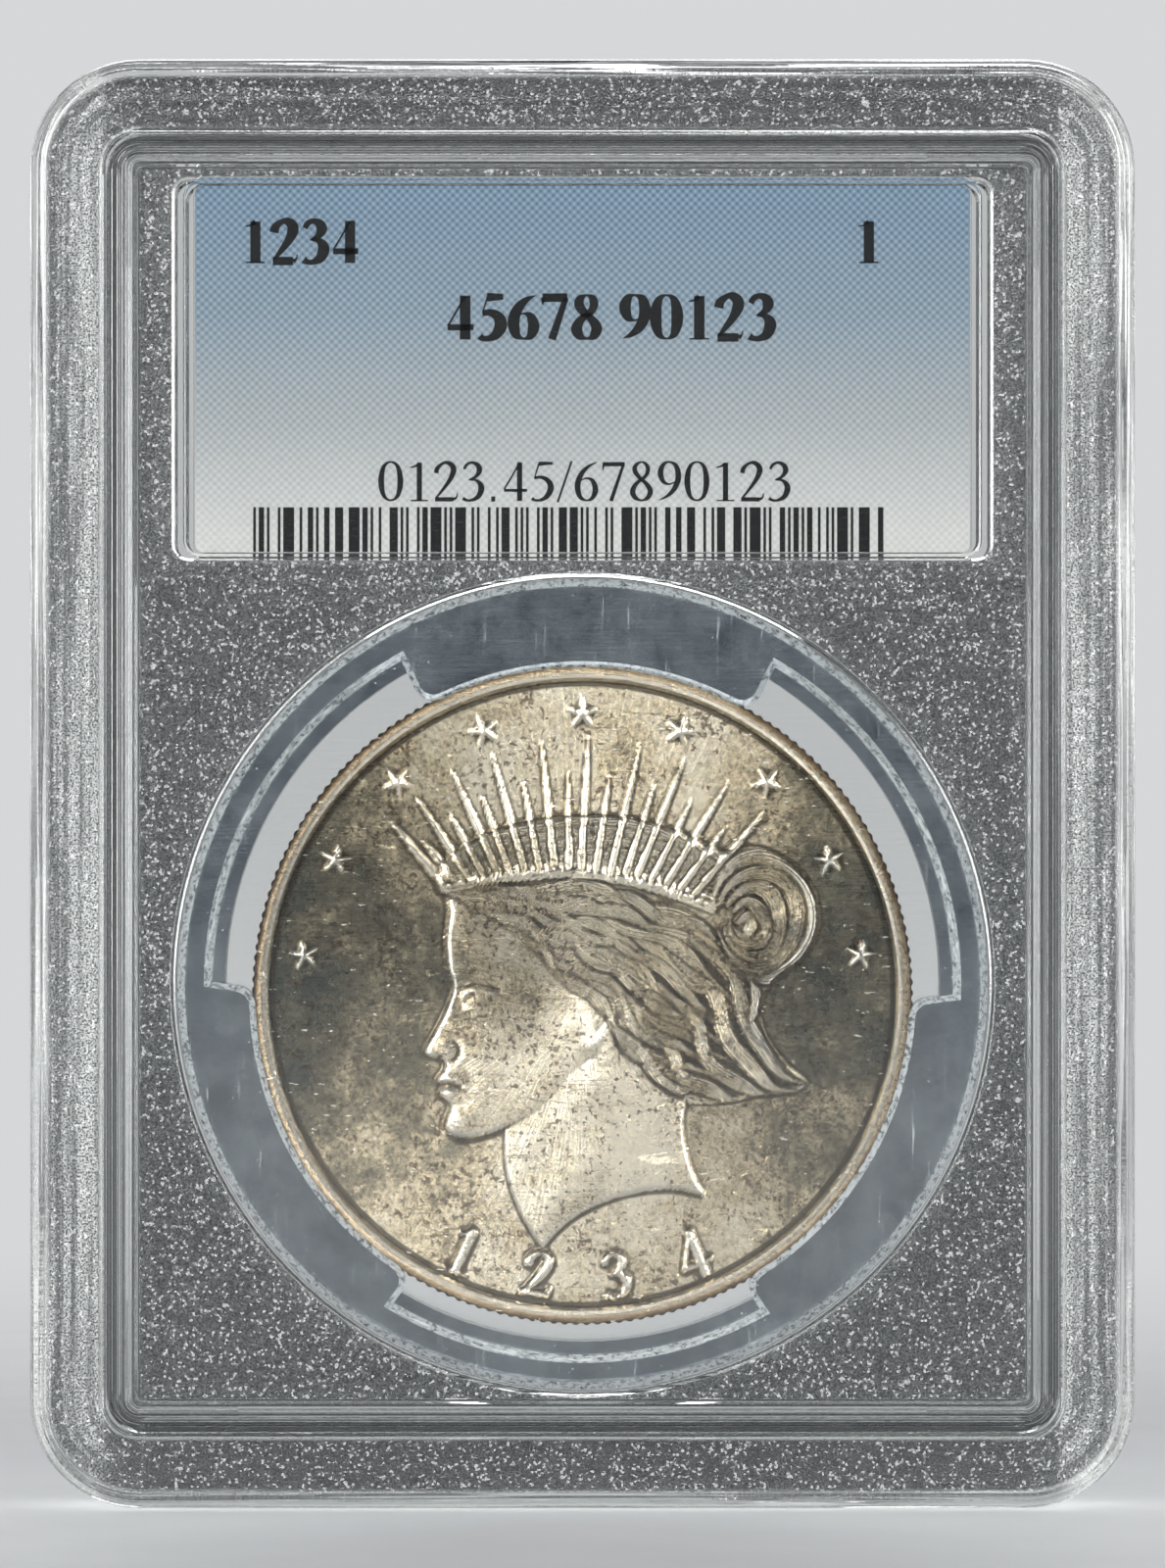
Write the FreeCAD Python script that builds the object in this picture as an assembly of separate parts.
import FreeCAD, Part
import math
import os

# A graded coin slab: a coin held by a pronged gasket between two clear welded
# shells, with a paper label above it. Millimetres. The slab stands on its
# bottom edge: X is its width, Z its height, and the front faces -Y. The two
# shells meet on the plane y = 0, and the origin is under that plane's middle.

Vector = FreeCAD.Vector
THROUGH = Vector(0, 1, 0)
TOUCH = 1e-4                # two points nearer than this are the same point
EXTRA = 1.0                 # how far a cutting tool stands past what it cuts

# ---- coin
coin_diameter = 38.1
coin_thickness = 2.4
coin_drop = 0.6             # the coin hangs this far below the window's centre
rim_width = 0.85
rim_height = 0.28
rim_slope = 0.15            # width of the slope from the rim down to the field
reed_count = 189
reed_depth = 0.12

# ---- gasket: a ring with three prongs that hold the coin by its edge
seat_clearance = 0.05
lip_reach = 0.2             # how far a prong's lip covers the coin's rim
lip_thickness = 0.4
gap_width = 1.55            # open gap between the coin and the ring's bore
step_width = 0.75           # low inner step of the ring
step_drop = 0.5
step_slope = 0.45
crown_width = 1.1           # flat top of the ring
skirt_width = 0.45          # bevel at the ring's outside
prong_count = 3
prong_turn = 89.0           # direction of the first prong, in degrees from +X
prong_spread = 60.0
prong_corner = 1.2
prong_bevel = 0.35

# ---- walls of the two shells
panel_thickness = 1.2
floor_clearance = 0.05      # gasket to each shell's floor
well_clearance = 0.1
well_wall = 1.0
window_lap = 0.25           # the polished window is this much wider than the well
window_recess = 0.1
window_bevel = 0.15

# ---- moulded frame round the front, from the outside in
corner_radius = 6.3
frame_rise = 1.1            # crest of the frame above the panel
crest_width = 4.4
crest_round = 1.1
inner_bevel = 0.45
ledge_depth = 0.85
ledge_width = 0.35
trough_width = 1.25
trough_drop = 0.15          # floor of the trough below the panel
trough_slope = 0.3
frame_corner = 2.6          # corner radius where the crest ends
trough_corner = 2.3
panel_corner = 1.0
seam_bevel = 0.12

# ---- stacking ridge round the back
nest_clearance = 0.15
ridge_bevel = 0.4
ridge_width = 1.2
ridge_inner_bevel = 0.25
back_bevel = 0.6

# ---- hollow of the frame, and the weld joint
outer_wall = 1.3
hollow_width = 2.7
weld_gap = 0.05
tongue_start = 5.2          # outer face of the tongue from the slab's edge
tongue_width = 0.65
tongue_height = 1.0
tongue_end = 11.9           # the tongue stops this far from the slab's sides
groove_clearance = 0.05
groove_corner = 1.6

# ---- label, its stepped pane and its pocket
label_height = 21.1
label_thickness = 0.35
label_clearance = 0.1
label_corner = 0.5
label_strip = 1.85          # stippled strip beside the pane
pane_side = 1.3             # the pane's border at its sides
pane_foot = 0.55
pane_head = 0.45
pane_step = 0.2             # each of the pane's two steps rises by this
pane_bevel = 0.17
pane_corner = 1.0
rib_width = 1.0
face_gap = 0.05             # label to the pane before it and the rib behind it

# ---- spaces between the features of the panel
window_side_margin = 1.75
window_foot_margin = 0.1
label_gap = 0.6
pane_head_margin = 0.45
core_margin = 0.7           # hollow corners start this far inside the panel's edge

# ---- sizes that follow
coin_radius = coin_diameter / 2
seat_radius = coin_radius + seat_clearance
bore_radius = coin_radius + gap_width
step_radius = bore_radius + step_width
crown_radius = step_radius + step_slope
skirt_radius = crown_radius + crown_width
gasket_radius = skirt_radius + skirt_width
well_radius = gasket_radius + well_clearance
window_radius = well_radius + window_lap

half_gasket = coin_thickness / 2 + seat_clearance + lip_thickness
floor_level = half_gasket + floor_clearance
panel_level = floor_level + panel_thickness
crest_level = panel_level + frame_rise
trough_level = panel_level - trough_drop
label_level = face_gap - floor_level
rib_level = label_level + label_thickness + face_gap

trough_start = crest_width + ledge_width
trough_end = trough_start + trough_width
edge_band = trough_end + trough_slope
hollow_end = outer_wall + hollow_width
tongue_far = tongue_start + tongue_width

slab_width = 2 * (window_radius + window_side_margin + edge_band)
window_height = edge_band + window_foot_margin + window_radius
coin_height = window_height - coin_drop
label_low = window_height + window_radius + label_gap + pane_foot
label_high = label_low + label_height
slab_height = label_high + pane_head + pane_head_margin + edge_band
label_width = slab_width - 2 * (edge_band + label_strip + pane_side)


def outline(half_width, low, high, radius, y):
    """Rounded rectangle in the plane y, as four arcs joined by four lines."""
    across = half_width - radius
    centres = (
        (across, high - radius),
        (-across, high - radius),
        (-across, low + radius),
        (across, low + radius),
    )
    arcs = []
    for turn, (x, z) in enumerate(centres):
        angles = [math.radians(90 * turn + step) for step in (0, 45, 90)]
        points = [Vector(x + radius * math.cos(a), y, z + radius * math.sin(a)) for a in angles]
        arcs.append(Part.Arc(*points).toShape())
    edges = []
    for arc, following in zip(arcs, arcs[1:] + arcs[:1]):
        start = arc.valueAt(arc.LastParameter)
        end = following.valueAt(following.FirstParameter)
        edges += [arc, Part.LineSegment(start, end).toShape()]
    return Part.Wire(edges)


def inset(depth, radius, y):
    """The slab's outline moved inwards by depth, in the plane y."""
    return outline(slab_width / 2 - depth, depth, slab_height - depth, radius, y)


def label_outline(grow, radius, y):
    """The label's outline grown by the same amount on each side."""
    return outline(label_width / 2 + grow, label_low - grow, label_high + grow, radius, y)


def pane_outline(share, y):
    """The label's outline grown by a share of the pane's three borders."""
    half_width = label_width / 2 + pane_side * share
    low = label_low - pane_foot * share
    high = label_high + pane_head * share
    return outline(half_width, low, high, pane_corner, y)


def block(wire, y_end):
    """Solid from a wire in a plane of constant y to the plane y_end."""
    y_start = wire.Vertexes[0].Y
    return Part.Face(wire).extrude(Vector(0, y_end - y_start, 0))


def ring_block(outer_wire, inner_wire, y_end):
    """Solid between two nested wires, from their plane to the plane y_end."""
    return block(outer_wire, y_end).cut(block(inner_wire, y_end))


def disc(radius, height, y_start, y_end):
    """Cylinder along Y whose axis is at the given height."""
    low, high = sorted((y_start, y_end))
    return Part.makeCylinder(radius, high - low, Vector(0, low, height), THROUGH)


def revolved(points, height):
    """Solid of a closed (radius, y) profile turned about the axis at that height."""
    corners = [Vector(radius, y, height) for radius, y in points]
    face = Part.Face(Part.makePolygon(corners + corners[:1]))
    return face.revolve(Vector(0, 0, height), THROUGH, 360)


def mirrored(half_profile):
    """A (radius, y) profile of one face, completed with its mirror image."""
    return half_profile + [(radius, -y) for radius, y in reversed(half_profile)]


def edges_on(shape, wire):
    """Edges of the shape that lie along the wire."""
    found = []
    for edge in shape.Edges:
        middle = edge.valueAt((edge.FirstParameter + edge.LastParameter) / 2)
        points = [vertex.Point for vertex in edge.Vertexes] + [middle]
        if all(Part.Vertex(point).distToShape(wire)[0] < TOUCH for point in points):
            found.append(edge)
    return found


def stepped(wire, top, bevel, base):
    """Block from the wire to the plane top, bevelled there; base is the wire's twin at the top."""
    solid = block(wire, top)
    return solid.makeChamfer(bevel, edges_on(solid, base))


def coin_window(side):
    """Shallow polished recess with a bevelled edge, cut into the panel."""
    panel = side * panel_level
    floor = side * (panel_level - window_recess)
    mouth = side * (panel_level + EXTRA)
    profile = [
        (0, floor),
        (window_radius - window_bevel, floor),
        (window_radius, panel),
        (window_radius, mouth),
        (0, mouth),
    ]
    return revolved(profile, window_height)


def label_pane(side):
    """Polished pane that rises from the panel in two bevelled steps."""
    foot = side * trough_level
    steps = []
    for share, rises in ((1.0, 1), (0.5, 2)):
        top = side * (panel_level + pane_step * rises)
        steps.append(stepped(pane_outline(share, foot), top, pane_bevel, pane_outline(share, top)))
    return steps[0].fuse(steps[1])


def frame_recess():
    """Stepped tool that opens the front frame down to the trough's floor."""
    mouth = -crest_level - EXTRA
    upper = block(inset(crest_width, frame_corner, mouth), ledge_depth - crest_level)
    lower = block(inset(trough_start, trough_corner, mouth), -trough_level)
    return upper.fuse(lower)


def panel_plateau():
    """The front panel, which slopes down into the trough all round."""
    plateau = block(inset(trough_end, trough_corner - trough_width, -floor_level), -panel_level)
    rim = edges_on(plateau, inset(trough_end, trough_corner - trough_width, -panel_level))
    return plateau.makeChamfer(trough_drop, rim)


def frame_hollow(side, top_level):
    """Closed ring of space that keeps the frame's walls even."""
    outside = inset(outer_wall, corner_radius - outer_wall, 0)
    inside = inset(hollow_end, frame_corner, 0)
    return ring_block(outside, inside, side * (top_level - panel_thickness))


def corner_hollows(side):
    """Four hollow corners beside the coin's well, below the label's pocket."""
    start = edge_band + core_margin
    top = label_low - label_clearance - well_wall
    hollow = block(outline(slab_width / 2 - start, start, top, panel_corner, 0), side * floor_level)
    return hollow.cut(disc(well_radius + well_wall, window_height, -panel_level, panel_level))


def inner_pockets(side):
    """The coin's well, the label's pocket and the hollow corners of one shell."""
    depth = side * floor_level
    well = disc(well_radius, window_height, 0, depth)
    pocket = block(label_outline(label_clearance, label_corner, 0), depth)
    return [well, pocket, corner_hollows(side)]


def shell_body(side, top_level):
    """Outer block of one shell, with a small bevel where the seam shows."""
    seam = side * weld_gap / 2
    body = block(inset(0, corner_radius, seam), side * top_level)
    return body.makeChamfer(seam_bevel, edges_on(body, inset(0, corner_radius, seam)))


def weld_groove():
    """Groove all round the front shell that takes the tongue."""
    outside = inset(tongue_start - groove_clearance, groove_corner, 0)
    inside = inset(tongue_far + groove_clearance, panel_corner, 0)
    return ring_block(outside, inside, -tongue_height)


def weld_tongues():
    """Four straight bars of the rear shell that are welded into the groove."""
    run_x = slab_width - 2 * tongue_end
    run_z = slab_height - 2 * tongue_end
    depth = tongue_height + floor_level
    bars = []
    for x in (tongue_start - slab_width / 2, slab_width / 2 - tongue_far):
        bars.append(Part.makeBox(tongue_width, depth, run_z, Vector(x, -tongue_height, tongue_end)))
    for z in (tongue_start, slab_height - tongue_far):
        bars.append(Part.makeBox(run_x, depth, tongue_width, Vector(-run_x / 2, -tongue_height, z)))
    return bars


def front_shell():
    """Clear front half: rounded crest, stepped inner wall, panel and windows."""
    body = shell_body(-1, crest_level)
    body = body.makeFillet(crest_round, edges_on(body, inset(0, corner_radius, -crest_level)))
    body = body.cut(frame_recess())
    body = body.fuse([panel_plateau(), label_pane(-1)])
    body = body.cut([coin_window(-1), weld_groove(), frame_hollow(-1, crest_level)] + inner_pockets(-1))
    body = body.removeSplitter()
    return body.makeChamfer(inner_bevel, edges_on(body, inset(crest_width, frame_corner, -crest_level)))


def stacking_ridge():
    """Ridge of the rear shell that nests inside the frame of the next slab."""
    start = crest_width + nest_clearance
    end = start + ridge_width
    outer = inset(start, frame_corner, crest_level)
    inner = inset(end, frame_corner - ridge_width, crest_level)
    ridge = ring_block(outer, inner, floor_level)
    ridge = ridge.makeChamfer(ridge_bevel, edges_on(ridge, outer))
    return ridge.makeChamfer(ridge_inner_bevel, edges_on(ridge, inner))


def label_rib():
    """Rib round the pocket of the rear shell that presses the label forward."""
    outside = label_outline(0, label_corner, rib_level)
    inside = outline(
        label_width / 2 - rib_width,
        label_low + rib_width,
        label_high - rib_width,
        label_corner,
        rib_level,
    )
    return ring_block(outside, inside, panel_level - panel_thickness / 2).cut(
        block(inside, panel_level)
    )


def rear_shell():
    """Clear rear half: ledge, stacking ridge, windows, tongue bars and label rib."""
    body = shell_body(1, panel_level)
    body = body.makeChamfer(back_bevel, edges_on(body, inset(0, corner_radius, panel_level)))
    body = body.fuse([stacking_ridge(), label_pane(1)])
    body = body.cut([coin_window(1), frame_hollow(1, panel_level)] + inner_pockets(1))
    return body.fuse(weld_tongues() + [label_rib()]).removeSplitter()


def gasket_ring():
    """Ring of the gasket: low inner step, slope, flat crown and bevelled skirt."""
    step_level = half_gasket - step_drop
    half = [
        (bore_radius, step_level),
        (step_radius, step_level),
        (crown_radius, half_gasket),
        (skirt_radius, half_gasket),
        (gasket_radius, half_gasket - skirt_width),
    ]
    return revolved(mirrored(half), window_height)


def prong(direction):
    """One wide prong from the ring's crown to the coin, bevelled at its free edges."""
    inner = coin_radius - lip_reach
    half = math.radians(prong_spread / 2)
    middle = math.radians(direction)
    coin_centre = Vector(0, -half_gasket, coin_height)
    ring_centre = Vector(0, -half_gasket, window_height)

    def at(origin, radius, angle):
        return origin + Vector(radius * math.cos(angle), 0, radius * math.sin(angle))

    near = [at(coin_centre, inner, middle + turn) for turn in (-half, 0, half)]
    far = [at(ring_centre, skirt_radius, middle + turn) for turn in (half, 0, -half)]
    edges = [
        Part.Arc(*near).toShape(),
        Part.LineSegment(near[2], far[0]).toShape(),
        Part.Arc(*far).toShape(),
        Part.LineSegment(far[2], near[0]).toShape(),
    ]
    plate = Part.Face(Part.Wire(edges)).extrude(2 * half_gasket * THROUGH)
    tips = [edge for edge in plate.Edges if is_upright(edge) and is_inside(edge, step_radius)]
    plate = plate.makeFillet(prong_corner, tips)
    free = [edge for edge in plate.Edges if not is_upright(edge) and is_inside(edge, skirt_radius)]
    return plate.makeChamfer(prong_bevel, free)


def is_upright(edge):
    """True for an edge that runs along Y."""
    start, end = [vertex.Point for vertex in edge.Vertexes]
    return abs(start.y - end.y) > TOUCH


def is_inside(edge, radius):
    """True for an edge whose middle is nearer to the window's axis than the radius."""
    middle = edge.valueAt((edge.FirstParameter + edge.LastParameter) / 2)
    return math.hypot(middle.x, middle.z - window_height) < radius - TOUCH


def coin_gasket():
    """Ring with three prongs, grooved for the coin's edge."""
    prongs = [prong(prong_turn + 360 * k / prong_count) for k in range(prong_count)]
    half_seat = coin_thickness / 2 + seat_clearance
    seat = disc(seat_radius, coin_height, -half_seat, half_seat)
    return gasket_ring().fuse(prongs).cut(seat).removeSplitter()


def reeded_band():
    """Prism as thick as the coin, with a V groove between each two reeds."""
    face = coin_thickness / 2
    points = []
    for k in range(2 * reed_count):
        angle = math.pi * k / reed_count
        radius = coin_radius - reed_depth * (k % 2)
        points.append(Vector(radius * math.cos(angle), -face, coin_height + radius * math.sin(angle)))
    outside = Part.Face(Part.makePolygon(points + points[:1]))
    return outside.extrude(coin_thickness * THROUGH)


def basin(side):
    """Tool that sinks one face of the coin below its rim, with a sloping edge."""
    face = side * coin_thickness / 2
    field = face - side * rim_height
    rim_radius = coin_radius - rim_width
    profile = [
        (0, field),
        (rim_radius - rim_slope, field),
        (rim_radius, face),
        (rim_radius, face + side * EXTRA),
        (0, face + side * EXTRA),
    ]
    return revolved(profile, coin_height)


def coin():
    """Reeded coin with a raised rim on both faces."""
    return reeded_band().cut([basin(-1), basin(1)])


def label_card():
    """Printed paper label."""
    return block(label_outline(0, label_corner, label_level), label_level + label_thickness)


PARTS = {
    "front_shell": front_shell,
    "rear_shell": rear_shell,
    "coin_gasket": coin_gasket,
    "coin": coin,
    "label_card": label_card,
}

os.makedirs("parts", exist_ok=True)
for name, build in PARTS.items():
    solid = build()
    print(name, solid.isValid(), len(solid.Solids), round(solid.Volume, 2))
    solid.exportStep("parts/" + name + ".step")
